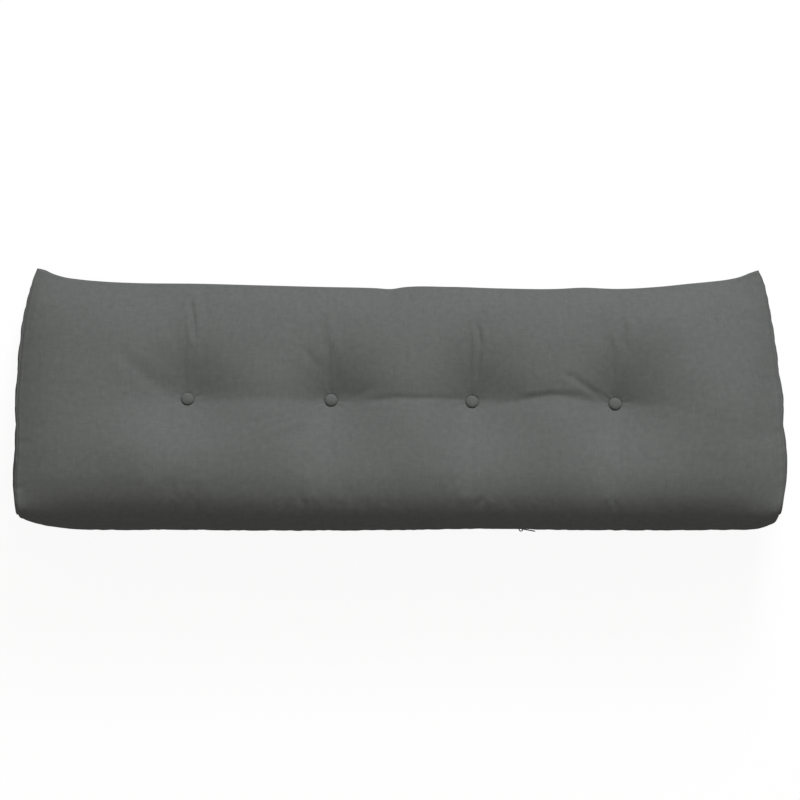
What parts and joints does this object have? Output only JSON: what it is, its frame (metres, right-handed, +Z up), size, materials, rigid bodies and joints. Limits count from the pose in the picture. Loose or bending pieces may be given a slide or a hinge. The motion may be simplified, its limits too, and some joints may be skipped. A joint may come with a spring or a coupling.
{
  "type": "back cushion",
  "caption": "Long wedge-shaped back cushion in dark grey linen-look cloth, tufted with a row of covered buttons, with a zip in its base.",
  "frame": {"origin": "on the surface the cushion lies on, under the middle of its bounding box", "axes": "+X along the cushion, to the right when its face is seen with the thin edge up; +Y from the thick base to the thin top edge; +Z up, out of the back panel towards the face"},
  "size_m": [1.5002, 0.5176, 0.2141],
  "materials": {
    "cover_cloth": "dark grey linen-look plain weave with uneven slub yarns, matt",
    "button_cloth": "the cover's cloth drawn over a button mould, matt",
    "zip_coil": "black nylon coil on woven tape",
    "zip_metal": "dark lacquered die-cast metal"
  },
  "bodies": {
    "root": {"cushion": "cover_cloth", "button_1": "button_cloth", "button_2": "button_cloth", "button_3": "button_cloth", "button_4": "button_cloth", "zip_strip": "zip_coil", "zip_slider": "zip_metal", "zip_pull": "zip_metal"}
  },
  "joints": []
}
